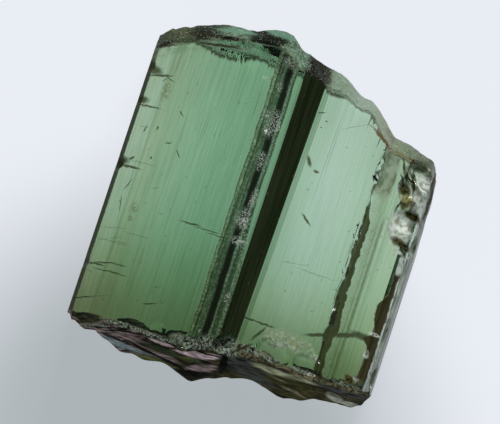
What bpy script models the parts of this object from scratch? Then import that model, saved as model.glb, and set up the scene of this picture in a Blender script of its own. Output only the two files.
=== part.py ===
"""A broken prism of green tourmaline, lying on its broad back face.

The prism's long axis runs along Y, its striated front faces point up (+Z), and both ends are
fractures. The origin is under the middle of the crystal, on the surface that it lies on.
"""

import math
import random

import bmesh
import bpy
from mathutils import Vector, noise

MM = 0.001  # the sizes below are in millimetres; Blender works in metres

# Driving dimensions
WIDTH = 8.10  # across the prism, left edge to right edge
RIDGE_HEIGHT = 4.60  # back face to the crest of the ridge
SHELF_HEIGHT = 3.68  # back face to the right-hand front face, below the step
GROOVE_DEPTH = 0.022  # deepest growth striation
BREAK_CELL = 0.22  # spacing of the lines that divide the fracture surfaces
ROWS = 26  # rows of faces along the prism
BREAK_RELIEF = 0.16  # height of the waves and small hollows on the fractures
WORN_EDGE = 0.50  # how far down the front faces' broken top edge slopes
WORN_SLOPE = 0.90  # fall of that edge along the prism for each millimetre of its depth

# Outline of the prism, seen along its length with the front faces up. Each corner is
# (across, up, grooves): grooves is the number of striations on the face that follows it.
SECTION = (
    (0.00, 0.20, 5),
    (0.00, 3.35, 1),
    (0.12, 3.50, 4),
    (0.60, 3.78, 10),
    (1.90, 4.20, 10),
    (3.14, 4.50, 3),
    (3.40, RIDGE_HEIGHT, 3),
    (3.66, 4.49, 1),
    (3.87, 4.43, 4),
    (4.50, 3.82, 1),
    (4.62, 3.78, 14),
    (6.45, SHELF_HEIGHT, 2),
    (6.64, 3.50, 4),
    (6.98, 3.46, 4),
    (7.58, 3.28, 1),
    (7.80, 3.07, 3),
    (8.02, 2.20, 2),
    (WIDTH, 1.30, 2),
    (WIDTH, 0.35, 1),
    (7.85, 0.00, 0),
    (7.23, 0.00, 0),
    (6.84, 0.18, 0),
    (6.38, 0.00, 0),
    (5.86, 0.00, 0),
    (5.52, 0.16, 0),
    (5.12, 0.00, 0),
    (4.23, 0.00, 0),
    (3.36, 0.405, 0),
    (2.33, 0.00, 0),
    (0.85, 0.00, 1),
    (0.12, 0.07, 0),
)
FRONT = SECTION[1:18]  # the corners that can be seen from above

# Height of the upper fracture along Y: (across, at the front, at the back)
UPPER_BREAK = (
    (0.00, 7.62, 7.70),
    (0.30, 7.79, 7.90),
    (0.60, 8.01, 7.95),
    (1.00, 8.20, 7.95),
    (1.40, 8.26, 7.95),
    (2.20, 8.36, 7.92),
    (2.80, 8.46, 7.88),
    (3.20, 8.42, 7.88),
    (3.70, 8.16, 7.90),
    (4.50, 8.05, 7.85),
    (4.85, 8.03, 7.80),
    (5.65, 7.70, 7.60),
    (6.65, 7.03, 6.92),
    (7.65, 6.75, 6.60),
    (7.93, 6.62, 6.45),
    (WIDTH, 6.20, 6.15),
)

# Height of the lower fracture along Y: (across, at the front, at the back)
LOWER_BREAK = (
    (0.00, 0.20, 0.85),
    (0.20, -0.05, 0.55),
    (0.50, -0.18, 0.33),
    (1.10, -0.02, 0.22),
    (1.80, 0.02, 0.03),
    (2.30, 0.00, -0.15),
    (3.30, -0.03, -0.25),
    (4.03, 0.10, 0.08),
    (4.48, 0.22, 0.22),
    (4.90, 0.36, 0.24),
    (5.70, 0.32, 0.07),
    (6.34, 0.36, 0.16),
    (6.80, 0.40, 0.31),
    (7.69, 0.47, 0.44),
    (7.95, 0.56, 0.62),
    (WIDTH, 0.76, 0.95),
)

# How far the foot of the step moves to the left, and up, at the lower fracture:
# (across, left, up)
STEP_LEAN = (
    (3.87, 0.00, 0.00),
    (4.50, 0.17, 0.16),
    (4.62, 0.17, 0.16),
    (6.45, 0.00, 0.05),
    (WIDTH, 0.00, 0.00),
)

# Shell-shaped hollows in the fractures: (across, up, radius, depth)
UPPER_HOLLOWS = (
    (1.30, 2.40, 1.20, 0.20),
    (3.20, 2.60, 1.00, 0.24),
    (5.20, 1.30, 1.10, 0.18),
    (6.90, 1.20, 0.80, 0.14),
)
LOWER_HOLLOWS = (
    (0.95, 2.70, 0.85, 0.24),
    (2.05, 3.10, 1.10, 0.42),
    (3.35, 3.00, 1.35, 0.52),
    (2.60, 1.10, 1.20, 0.20),
    (4.85, 2.60, 1.00, 0.42),
    (4.40, 0.80, 0.80, 0.16),
    (6.10, 2.30, 0.90, 0.36),
    (6.00, 0.60, 0.75, 0.14),
    (7.30, 2.10, 0.85, 0.30),
)

# Chips knocked out of the edges: (across, along, height above the front outline), half sizes
# across, along and up, and the way that the blow went in, across and up
CHIPS = (
    ((-0.06, 6.75, 0.11), (0.20, 0.20, 0.26), (1.0, -0.5)),
    ((-0.06, 5.85, 0.09), (0.17, 0.18, 0.22), (1.0, -0.5)),
    ((-0.08, 4.10, 0.09), (0.26, 0.20, 0.28), (1.0, -0.5)),
    ((-0.06, 1.40, 0.09), (0.18, 0.22, 0.24), (1.0, -0.5)),
    ((7.66, 6.40, 0.18), (0.44, 0.50, 0.50), (-0.5, -1.0)),
    ((7.40, 5.80, 0.16), (0.36, 0.42, 0.44), (0.0, -1.0)),
    ((7.60, 5.10, 0.14), (0.46, 0.55, 0.42), (-0.3, -1.0)),
    ((8.00, 4.50, 0.29), (0.34, 0.32, 0.36), (-1.0, -0.8)),
    ((7.95, 3.35, 0.23), (0.18, 0.80, 0.22), (-1.0, -1.0)),
    ((7.97, 2.10, 0.21), (0.20, 0.46, 0.24), (-1.0, -1.0)),
    ((8.04, 1.00, 0.24), (0.28, 0.34, 0.36), (-1.0, -0.8)),
    ((8.24, 5.90, -0.30), (0.30, 1.40, 1.30), (-1.0, 0.0)),
    ((6.56, 6.75, 0.16), (0.20, 0.44, 0.20), (0.2, -1.0)),
    ((3.45, 6.05, 0.10), (0.26, 0.36, 0.17), (0.2, -1.0)),
    ((3.55, 3.70, 0.09), (0.22, 0.32, 0.17), (0.4, -1.0)),
    ((3.30, 0.05, 0.10), (0.42, 0.42, 0.24), (0.0, -1.0)),
    ((2.20, 0.00, 0.13), (0.50, 0.36, 0.20), (0.0, -1.0)),
    ((4.15, 0.30, 0.30), (0.36, 0.40, 0.42), (-1.0, -0.6)),
    ((5.30, 0.58, 0.12), (0.52, 0.36, 0.20), (0.0, -1.0)),
    ((6.30, 0.56, 0.11), (0.42, 0.34, 0.22), (0.0, -1.0)),
)
RIDGE_CHIPS = 18  # small chips scattered along the crest of the ridge
LEDGE_CHIPS = 9  # small chips along the dark ledge right of the front face
LUMPINESS = 0.30  # how uneven a chip's hollow is, as a share of its size

UPPER_SEED = Vector((11.3, 4.7, 2.9))
LOWER_SEED = Vector((3.1, 8.6, 5.2))
SCATTER_SEED = 7


def smooth_step(share):
    """0 to 1 with level ends."""
    share = min(max(share, 0.0), 1.0)
    return share * share * (3.0 - 2.0 * share)


def between(rows, across):
    """The rows' values at one place across the prism, blended from the rows on either side."""
    for left, right in zip(rows, rows[1:]):
        if across < right[0]:
            share = smooth_step((across - left[0]) / (right[0] - left[0]))
            return [a + (b - a) * share for a, b in zip(left[1:], right[1:])]
    return list(rows[-1][1:])


def front_height(across):
    """Height of the front outline above the back face."""
    for left, right in zip(FRONT, FRONT[1:]):
        if across < right[0]:
            share = max(across - left[0], 0.0) / (right[0] - left[0])
            return left[1] + (right[1] - left[1]) * share
    return FRONT[-1][1]


def waves(across, up, seed):
    """Uneven relief of a fracture: broad waves, and small shell-shaped hollows side by side."""
    place = Vector((across, up, 0.0)) + seed
    from_centre = noise.voronoi(place * 0.9)[0][0]
    return BREAK_RELIEF * (noise.noise(place * 0.8) - 1.3 * from_centre * from_centre)


def hollow(across, up, hollows):
    """Depth of the deepest shell-shaped hollow at a place on a fracture."""
    deepest = 0.0
    for middle_across, middle_up, radius, depth in hollows:
        reach = math.hypot(across - middle_across, up - middle_up) / radius
        deepest = max(deepest, depth * (1.0 - reach * reach))
    return deepest


def upper_height(across, up):
    """Y of the upper fracture; its front edge is worn to a slope."""
    front, back = between(UPPER_BREAK, across)
    crest = front_height(across) - WORN_EDGE
    height = back + (front - back) * min(up / crest, 1.0)
    height -= WORN_SLOPE * max(up - crest, 0.0)
    return height - hollow(across, up, UPPER_HOLLOWS) - waves(across, up, UPPER_SEED)


def lower_height(across, up):
    """Y of the lower fracture."""
    front, back = between(LOWER_BREAK, across)
    height = back + (front - back) * min(up / front_height(across), 1.0)
    return height + hollow(across, up, LOWER_HOLLOWS) + waves(across, up, LOWER_SEED)


def striated(start, end, grooves, scatter):
    """Points from start up to end, alternately on the face and down in a groove."""
    run = Vector((end[0] - start[0], end[1] - start[1]))
    inward = Vector((run.y, -run.x)).normalized()
    points = [Vector(start[:2])]
    for groove in range(grooves):
        for step, depth in ((0.35, scatter.uniform(0.3, 1.0)), (0.75, scatter.uniform(0.0, 0.25))):
            share = (groove + step + scatter.uniform(-0.12, 0.12)) / grooves
            points.append(Vector(start[:2]) + run * share + inward * (GROOVE_DEPTH * depth))
    return points


def divide(bm, spacing, length, axis):
    """Cut every face along evenly spaced planes that cross one axis."""
    normal = Vector((0.0, 0.0, 0.0))
    normal[axis] = 1.0
    for number in range(1, math.ceil(length / spacing)):
        bmesh.ops.bisect_plane(
            bm,
            geom=bm.verts[:] + bm.edges[:] + bm.faces[:],
            dist=spacing * 0.2,
            plane_co=normal * (number * spacing),
            plane_no=normal,
        )


def prism_mesh():
    """The prism, one unit long, with its ends divided into cells and its sides into rows."""
    scatter = random.Random(SCATTER_SEED)
    bm = bmesh.new()
    outline = []
    for start, end in zip(SECTION, SECTION[1:] + SECTION[:1]):
        outline += striated(start, end, start[2], scatter)
    bm.faces.new([bm.verts.new((point.x, 0.0, point.y)) for point in outline])
    divide(bm, BREAK_CELL, WIDTH, 0)
    divide(bm, BREAK_CELL, RIDGE_HEIGHT, 2)
    raised = bmesh.ops.extrude_face_region(bm, geom=bm.faces[:])["geom"]
    bmesh.ops.translate(
        bm,
        verts=[item for item in raised if isinstance(item, bmesh.types.BMVert)],
        vec=(0.0, 1.0, 0.0),
    )
    divide(bm, 1.0 / ROWS, 1.0, 1)
    return bm


def lean_step(bm):
    """Narrow the step in the front faces towards the lower fracture."""
    for vert in bm.verts:
        left, up = between(STEP_LEAN, vert.co.x)
        share = 1.0 - vert.co.y
        raised = up * share * vert.co.z / front_height(vert.co.x)
        vert.co += Vector((-left * share, 0.0, raised))


def break_ends(bm):
    """Spread the unit prism along Y between its two fractures."""
    for vert in bm.verts:
        low = lower_height(vert.co.x, vert.co.z)
        high = upper_height(vert.co.x, vert.co.z)
        vert.co.y = low + (high - low) * vert.co.y


def knock_chip(bm, centre, half, blow):
    """Push the points inside a lumpy ball on to its far side, along the blow."""
    centre = Vector((centre[0], centre[1], centre[2] + front_height(centre[0])))
    unit = Vector((1.0 / half[0], 1.0 / half[1], 1.0 / half[2]))
    way = Vector((blow[0], 0.0, blow[1])).normalized()
    scaled_way = way * unit
    for vert in bm.verts:
        from_centre = (vert.co - centre) * unit
        if from_centre.length > 1.5:
            continue
        size = 1.0 + LUMPINESS * noise.noise(vert.co * 2.5)
        along = from_centre.dot(scaled_way) / scaled_way.length_squared
        inside = size * size - from_centre.length_squared
        if inside > 0.0:
            vert.co += way * (math.sqrt(along * along + inside / scaled_way.length_squared) - along)


def chip_edges(bm):
    """The large chips, and the small ones scattered along the ridge and the ledge."""
    scatter = random.Random(SCATTER_SEED + 1)
    for centre, half, blow in CHIPS:
        knock_chip(bm, centre, half, blow)
    for _ in range(RIDGE_CHIPS):
        across = scatter.uniform(3.18, 3.70)
        centre = (across, scatter.uniform(0.6, 7.8), 0.04)
        half = (scatter.uniform(0.09, 0.14), scatter.uniform(0.20, 0.36), 0.12)
        knock_chip(bm, centre, half, (scatter.uniform(-0.3, 0.3), -1.0))
    for _ in range(LEDGE_CHIPS):
        centre = (scatter.uniform(6.44, 6.58), scatter.uniform(0.9, 6.4), 0.05)
        half = (scatter.uniform(0.08, 0.13), scatter.uniform(0.25, 0.50), 0.12)
        knock_chip(bm, centre, half, (scatter.uniform(-0.3, 0.3), -1.0))


def centre_on_origin(bm):
    """Centre the crystal over the origin, standing on it."""
    low = [min(vert.co[axis] for vert in bm.verts) for axis in range(3)]
    high = [max(vert.co[axis] for vert in bm.verts) for axis in range(3)]
    middle = Vector(((low[0] + high[0]) / 2.0, (low[1] + high[1]) / 2.0, low[2]))
    bmesh.ops.translate(bm, verts=bm.verts[:], vec=-middle)


def tourmaline_material():
    """Clear green stone."""
    material = bpy.data.materials.new("green_tourmaline")
    material.use_nodes = True
    shader = material.node_tree.nodes["Principled BSDF"]
    shader.inputs["Base Color"].default_value = (0.16, 0.36, 0.20, 1.0)
    shader.inputs["Roughness"].default_value = 0.08
    shader.inputs["Metallic"].default_value = 0.0
    shader.inputs["IOR"].default_value = 1.63
    shader.inputs["Transmission Weight"].default_value = 0.8
    return material


def build_crystal():
    """The crystal: a striated prism with both ends broken off and its edges chipped."""
    bm = prism_mesh()
    lean_step(bm)
    break_ends(bm)
    bmesh.ops.triangulate(bm, faces=bm.faces[:], quad_method="BEAUTY", ngon_method="BEAUTY")
    chip_edges(bm)
    centre_on_origin(bm)
    bmesh.ops.recalc_face_normals(bm, faces=bm.faces[:])
    bmesh.ops.scale(bm, vec=(MM, MM, MM), verts=bm.verts[:])
    mesh = bpy.data.meshes.new("tourmaline_crystal")
    bm.to_mesh(mesh)
    bm.free()
    mesh.materials.append(tourmaline_material())
    crystal = bpy.data.objects.new("tourmaline_crystal", mesh)
    bpy.context.scene.collection.objects.link(crystal)


for old in list(bpy.data.objects):
    bpy.data.objects.remove(old, do_unlink=True)
build_crystal()
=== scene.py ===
"""A broken prism of green tourmaline on a pale, softly lit surface."""

import functools
import math
import random

import bmesh
import bpy
from mathutils import Matrix, Vector, noise


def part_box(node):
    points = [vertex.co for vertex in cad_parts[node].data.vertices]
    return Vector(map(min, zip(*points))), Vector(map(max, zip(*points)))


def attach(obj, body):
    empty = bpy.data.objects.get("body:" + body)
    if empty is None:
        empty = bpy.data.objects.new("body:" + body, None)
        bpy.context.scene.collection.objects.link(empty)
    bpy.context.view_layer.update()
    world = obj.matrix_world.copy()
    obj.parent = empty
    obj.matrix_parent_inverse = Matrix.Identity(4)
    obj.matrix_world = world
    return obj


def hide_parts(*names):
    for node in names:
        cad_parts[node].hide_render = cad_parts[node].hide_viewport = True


bl_info = {
    "name": "Tourmaline crystal",
    "version": (1, 0, 0),
    "blender": (4, 5, 0),
    "location": "3D View > Sidebar > Crystal",
    "description": "Builds a broken, striated prism of green tourmaline",
    "category": "Add Mesh",
}

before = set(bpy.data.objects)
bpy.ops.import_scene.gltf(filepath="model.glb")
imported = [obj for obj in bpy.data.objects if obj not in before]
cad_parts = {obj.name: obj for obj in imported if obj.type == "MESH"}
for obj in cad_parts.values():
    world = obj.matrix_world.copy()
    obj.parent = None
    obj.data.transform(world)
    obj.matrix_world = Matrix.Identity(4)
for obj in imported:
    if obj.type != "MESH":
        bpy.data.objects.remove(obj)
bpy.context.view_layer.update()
CRYSTAL_NODE = "tourmaline_crystal"

MM = 0.001  # sizes are in millimetres where a name doesn't say otherwise

WIDTH = 8.1
RIDGE_HEIGHT = 4.6  # back face to the crest of the ridge
SHELF_HEIGHT = 3.68  # back face to the front face right of the step
WORN_EDGE = 0.5  # how far down the front faces' broken top edge slopes
WORN_SLOPE = 0.9  # fall of that edge along the prism for each millimetre of its depth
LAYER_RELIEF = 0.012  # height of the thin steps on the fractures
CRUMBLE = 0.08  # height of the crumbs along the fractures' front edges
FRONT_SKIN = 0.05  # depth that the front faces' growth lines reach
LUMPINESS = 0.3  # how uneven the chips are
CHIP_LIMIT = 1.5  # how far a lumpy chip may reach, in half sizes
RIDGE_CHIPS = 26
LEDGE_CHIPS = 24
SCRATCHES = 16
SCRATCH_SPANS = ((0.2, 3.0), (0.6, 7.2), (0.04, 0.14), (0.008, 0.013))  # of each value in a mark
SHARP_ANGLE = math.radians(28.0)

UPPER_SEED = Vector((11.3, 4.7, 2.9))
LOWER_SEED = Vector((3.1, 8.6, 5.2))
SCATTER_SEED = 7

# Outline of the prism seen along its length: (across, up, grooves on the face that follows)
SECTION = (
    (0, 0.2, 6), (0, 3.35, 2), (0.12, 3.5, 8), (0.6, 3.78, 26), (1.9, 4.2, 26), (3.14, 4.5, 5),
    (3.4, RIDGE_HEIGHT, 5), (3.66, 4.49, 3), (3.87, 4.43, 0), (4.5, 3.82, 1), (4.62, 3.78, 34),
    (6.45, SHELF_HEIGHT, 0), (6.64, 3.5, 8), (6.98, 3.46, 12), (7.58, 3.28, 0), (7.8, 3.07, 5),
    (8.02, 2.2, 3), (WIDTH, 1.3, 4), (WIDTH, 0.35, 1), (7.85, 0, 0), (7.23, 0, 0), (6.84, 0.18, 0),
    (6.38, 0, 0), (5.86, 0, 0), (5.52, 0.16, 0), (5.12, 0, 0), (4.23, 0, 0), (3.36, 0.405, 0),
    (2.33, 0, 0), (0.85, 0, 2), (0.12, 0.07, 0),
)
FRONT = SECTION[1:18]

# Height of the fractures along the prism: (across, at the front, at the back)
UPPER_BREAK = (
    (0, 7.62, 7.7), (0.3, 7.79, 7.9), (0.6, 8.01, 7.95), (1, 8.2, 7.95), (1.4, 8.26, 7.95),
    (2.2, 8.36, 7.92), (2.8, 8.46, 7.88), (3.2, 8.42, 7.88), (3.7, 8.16, 7.9), (4.5, 8.05, 7.85),
    (4.85, 8.03, 7.8), (5.65, 7.7, 7.6), (6.65, 7.03, 6.92), (7.65, 6.75, 6.6), (7.93, 6.62, 6.45),
    (WIDTH, 6.2, 6.15),
)
LOWER_BREAK = (
    (0, 0.2, 0.85), (0.2, -0.05, 0.55), (0.5, -0.18, 0.33), (1.1, -0.02, 0.22), (1.8, 0.02, 0.03),
    (2.3, 0, -0.15), (3.3, -0.03, -0.25), (4.03, 0.1, 0.08), (4.48, 0.22, 0.22), (4.9, 0.36, 0.24),
    (5.7, 0.32, 0.07), (6.34, 0.36, 0.16), (6.8, 0.4, 0.31), (7.69, 0.47, 0.44), (7.95, 0.56, 0.62),
    (WIDTH, 0.76, 0.95),
)

# How far the foot of the step moves at the lower fracture: (across, left, up)
STEP_LEAN = ((3.87, 0, 0), (4.5, 0.17, 0.16), (4.62, 0.17, 0.16), (6.45, 0, 0.05), (WIDTH, 0, 0))

# Shell-shaped hollows in the fractures: (across, up, radius, depth)
UPPER_HOLLOWS = ((1.3, 2.4, 1.2, 0.2), (3.2, 2.6, 1, 0.24), (5.2, 1.3, 1.1, 0.18), (6.9, 1.2, 0.8, 0.14))
LOWER_HOLLOWS = (
    (0.95, 2.7, 0.85, 0.24), (2.05, 3.1, 1.1, 0.42), (3.35, 3, 1.35, 0.52), (2.6, 1.1, 1.2, 0.2),
    (4.85, 2.6, 1, 0.42), (4.4, 0.8, 0.8, 0.16), (6.1, 2.3, 0.9, 0.36), (6, 0.6, 0.75, 0.14),
    (7.3, 2.1, 0.85, 0.3),
)

# Chips: centre (across, along, above the front face), half sizes, blow (across, up)
CHIPS = (
    ((-0.06, 6.75, 0.11), (0.2, 0.2, 0.26), (1, -0.5)),
    ((-0.06, 5.85, 0.09), (0.17, 0.18, 0.22), (1, -0.5)),
    ((-0.08, 4.1, 0.09), (0.26, 0.2, 0.28), (1, -0.5)),
    ((-0.06, 1.4, 0.09), (0.18, 0.22, 0.24), (1, -0.5)),
    ((7.66, 6.4, 0.18), (0.44, 0.5, 0.5), (-0.5, -1)), ((7.4, 5.8, 0.16), (0.36, 0.42, 0.44), (0, -1)),
    ((7.6, 5.1, 0.14), (0.46, 0.55, 0.42), (-0.3, -1)), ((8, 4.5, 0.29), (0.34, 0.32, 0.36), (-1, -0.8)),
    ((7.95, 3.35, 0.23), (0.18, 0.8, 0.22), (-1, -1)), ((7.97, 2.1, 0.21), (0.2, 0.46, 0.24), (-1, -1)),
    ((8.04, 1, 0.24), (0.28, 0.34, 0.36), (-1, -0.8)), ((8.24, 5.9, -0.3), (0.3, 1.4, 1.3), (-1, 0)),
    ((6.56, 6.75, 0.16), (0.2, 0.44, 0.2), (0.2, -1)), ((3.45, 6.05, 0.1), (0.26, 0.36, 0.17), (0.2, -1)),
    ((3.55, 3.7, 0.09), (0.22, 0.32, 0.17), (0.4, -1)), ((3.3, 0.05, 0.1), (0.42, 0.42, 0.24), (0, -1)),
    ((2.2, 0, 0.13), (0.5, 0.36, 0.2), (0, -1)), ((4.15, 0.3, 0.3), (0.36, 0.4, 0.42), (-1, -0.6)),
    ((5.3, 0.58, 0.12), (0.52, 0.36, 0.2), (0, -1)), ((6.3, 0.56, 0.11), (0.42, 0.34, 0.22), (0, -1)),
)

# Relief of the front faces: (across, growth lines, frosting)
ROUGHNESS_ACROSS = (
    (0, 0.01, 0), (0.6, 0.003, 0), (2.95, 0.004, 0), (3.14, 0.012, 0.006), (3.4, 0.022, 0.022),
    (3.64, 0.016, 0.016), (3.74, 0, 0), (4.5, 0, 0), (4.62, 0.002, 0), (6.3, 0.003, 0),
    (6.46, 0.01, 0.03), (6.64, 0.008, 0.02), (7, 0.006, 0.01), (7.1, 0.004, 0), (7.55, 0.004, 0),
    (7.62, 0.01, 0), (WIDTH, 0.01, 0.01),
)

# The tables' place that lies over the origin, and the one that the camera looks at
DRAWN_MIDDLE = Vector((WIDTH / 2.0, 4.1325, 0.0))
FRAME_CENTRE = Vector((3.64, 4.075, 2.5))

STONE_IOR = 1.63
POLISH = 0.015  # roughness of the clean faces
GRAIN_BUMP = 0.02 * MM
SHELL_BUMP = 0.25 * MM

# Colours
BLACK = (0.006, 0.006, 0.004)
SLATE = (0.055, 0.063, 0.058)
OLIVE = (0.055, 0.055, 0.02)
# painted shade along the left edge
EDGE_DARK = (0.052, 0.063, 0.038)
LEDGE_DARK = (0.01, 0.01, 0.003)
LEDGE_BROWN = (0.1, 0.09, 0.03)
LEDGE_FROST = (0.36, 0.44, 0.32)
BREAK_BROWN = (0.075, 0.066, 0.04)
BLOB_GREY = (0.22, 0.29, 0.2)
BRUISE = (0.66, 0.66, 0.62)
FROST_WHITE = (0.8, 0.86, 0.8)
STAIN_TINT = (0.25, 0.16, 0.08)
CRACK_TINT = (0.04, 0.035, 0.015)
VEIL_EDGE = (0.34, 0.37, 0.17)
TOP_SHADE = (0.2, 0.26, 0.16)
# painted shade for the steep step facet
STEP_SHADE = (0.42, 0.42, 0.13)
LOW_RIGHT_TINT = (0.7, 0.82, 0.72)

# Blends from the low values of a pattern to its high ones: (value, colour)
LINE_BLEND = ((0.25, (0.66, 0.72, 0.6)), (0.5, (1, 1, 1)), (0.75, (1.12, 1.07, 1.07)))
HAIR_BLEND = ((0.3, (0.76, 0.8, 0.74)), (0.55, (1, 1, 1)))
# the next blend is painted shade on the step facet, streaked by the growth lines
STEP_SHADE_BLEND = ((0.35, (0.016, 0.03, 0.009)), (0.65, (0.045, 0.064, 0.026)))
RIDGE_STREAKS = ((0.38, (0.45, 0.48, 0.42)), (0.6, (1.3, 1.3, 1.25)))
RIDGE_GRAINS = ((0.36, (0.03, 0.05, 0.03)), (0.52, (0.22, 0.28, 0.2)), (0.68, (0.9, 1, 0.85)))
LEDGE_BLEND = ((0.36, LEDGE_DARK), (0.62, LEDGE_BROWN))
FROSTED_LEDGE = ((0.38, (0.15, 0.2, 0.11)), (0.6, LEDGE_FROST))
SEAM_BLEND = ((0.36, LEDGE_DARK), (0.6, (0.075, 0.066, 0.027)))
SIDE_BLEND = ((0.4, (0.16, 0.18, 0.15)), (0.6, (0.46, 0.5, 0.44)))
WORN_MOTTLE = ((0.36, (0.2, 0.2, 0.18)), (0.5, (0.7, 0.7, 0.7)), (0.64, (1.5, 1.5, 1.4)))
BREAK_BLEND = ((0.36, (0.012, 0.012, 0.007)), (0.52, (0.045, 0.042, 0.02)), (0.66, BREAK_BROWN))
BREAK_STREAKS = ((0.38, (0.45, 0.45, 0.42)), (0.62, (1.35, 1.35, 1.35)))
RIM_BLEND = ((0.42, (0.035, 0.035, 0.015)), (0.62, (0.2, 0.18, 0.11)))
CRUSHED_BLEND = ((0.42, (0.01, 0.014, 0.008)), (0.62, (0.2, 0.25, 0.18)))
FROST_BLEND = ((0.4, (0.24, 0.26, 0.2)), (0.56, FROST_WHITE))
PIT_BLEND = ((0.4, LEDGE_DARK), (0.6, LEDGE_BROWN))
OLIVE_PIT_BLEND = ((0.4, LEDGE_BROWN), (0.6, (0.3, 0.28, 0.1)))
VEIL_BLEND = ((0.4, (0.15, 0.22, 0.12)), (0.58, (0.46, 0.58, 0.46)))
LAMELLA_DARK = (0.015, 0.014, 0.01)
LAMELLA_PALE = (0.26, 0.21, 0.21)

# What the faces let through, across the prism and along it
LENGTH = 9.0  # spans every place along the prism
TINTS = (
    # the first two stops, up to 0.09, are painted shade along the left edge
    (0, (0.02, 0.025, 0.015)), (0.09, (0.03, 0.035, 0.02)), (0.13, (0.96, 0.9, 0.86)),
    (0.5, (1, 0.93, 0.92)), (0.56, (0.4, 0.46, 0.32)), (0.61, (0.8, 0.76, 0.6)),
    (0.8, (0.66, 0.69, 0.55)), (2, (0.6, 0.74, 0.61)), (2.62, (0.49, 0.67, 0.52)),
    (2.85, (0.42, 0.59, 0.43)), (3.03, (0.49, 0.67, 0.53)), (3.68, (0.46, 0.62, 0.48)),
    # the dip from 3.86 to 4.48 is painted shade under the step's dark band
    (3.78, (0.44, 0.6, 0.46)), (3.86, (0.26, 0.33, 0.24)), (4.48, (0.5, 0.62, 0.5)),
    (4.52, (0.84, 0.88, 0.8)), (5.3, (1, 1, 1)), (6.1, (0.93, 0.95, 0.89)), (6.4, (0.85, 0.88, 0.8)),
    (6.8, (0.54, 0.6, 0.45)), (7.05, (0.85, 0.9, 0.76)), (7.55, (0.8, 0.8, 0.66)),
    (7.84, (0.4, 0.42, 0.36)), (7.92, (0.26, 0.28, 0.25)), (WIDTH, (0.2, 0.21, 0.19)),
)
LENGTH_TINTS = (
    (0.3, (0.56, 0.52, 0.36)), (0.9, (0.68, 0.64, 0.46)), (1.7, (0.82, 0.84, 0.67)),
    (2.8, (0.95, 0.99, 0.91)), (3.5, (0.98, 1, 0.98)), (4.5, (0.96, 0.96, 0.96)),
    (7.2, (0.87, 0.87, 0.86)),
)

# The frosted ridge: its bands, as shares of its span, and its right-hand side (along, across)
RIDGE_LEFT = 3.11
RIDGE_SPAN = 0.76
RIDGE_BANDS = (
    (0, (1, 1, 1)), (0.026, (0.2, 0.24, 0.14)), (0.066, (0.7, 0.75, 0.6)), (0.118, (0.5, 0.58, 0.42)),
    (0.151, (0.03, 0.04, 0.02)), (0.184, (0.26, 0.3, 0.24)), (0.385, (0.2, 0.24, 0.18)),
    (0.42, (0.012, 0.016, 0.01)), (0.615, (0.012, 0.016, 0.01)), (0.65, (0.46, 0.48, 0.43)),
    (0.7, (0.46, 0.48, 0.43)), (0.73, (0.1, 0.13, 0.09)), (0.85, (0.1, 0.13, 0.09)),
    (0.89, (0.48, 0.54, 0.46)), (0.96, (0.48, 0.54, 0.46)), (1, (0.3, 0.34, 0.28)),
)
RIDGE_RIGHT = ((0.4, 3.87), (2.4, 3.87), (3.1, 3.78), (4.2, 3.71), (8, 3.7))

# The dark ledge, right of the middle: its right-hand side (along, across)
LEDGE_LEFT = 6.44
LEDGE_RIGHT = ((0.3, 6.72), (1, 6.62), (1.7, 6.74), (2.6, 6.66), (4.6, 6.64), (5.2, 6.47), (6.4, 6.46))

# The brown seam near the right-hand edge: its left-hand side (along, across)
SEAM_LEFT = (
    (0.4, 7.42), (0.8, 7.55), (1.5, 7.6), (1.75, 7.4), (1.95, 7.64), (2.3, 7.5), (2.65, 7.47), (3, 7.66),
    (3.7, 7.68), (4, 7.8),
)
SEAM_RIGHT = 7.83

# The worn upper edge, from left to right; its green from about 1.8 to 2.15 is a painted highlight, and
# its near-black over the step, from 3.95 to 4.5, is painted shade that carries the step's dark band up
# the edge
WORN_ACROSS = (
    (0, (0.05, 0.055, 0.03)), (0.6, (0.09, 0.1, 0.05)), (0.95, (0.025, 0.03, 0.015)),
    (1.4, (0.04, 0.05, 0.03)), (1.8, (0.16, 0.24, 0.16)), (2.15, (0.1, 0.16, 0.1)),
    (2.3, (0.01, 0.013, 0.008)), (3.05, (0.01, 0.012, 0.007)), (3.2, (0.13, 0.21, 0.14)),
    (3.8, (0.16, 0.25, 0.18)), (3.95, (0.02, 0.022, 0.012)), (4.5, (0.02, 0.02, 0.012)),
    (4.62, (0.3, 0.4, 0.3)), (5.5, (0.38, 0.48, 0.38)), (6.05, (0.36, 0.42, 0.31)),
    (6.4, (0.34, 0.37, 0.25)), (7, (0.22, 0.28, 0.18)), (7.5, (0.16, 0.19, 0.12)),
    (WIDTH, (0.07, 0.07, 0.05)),
)

# Axis that the fractures' marks are measured along: up the prism, leaning a little to the front
LEANING_AXIS = (0, 0.9877, 0.1564)
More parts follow.
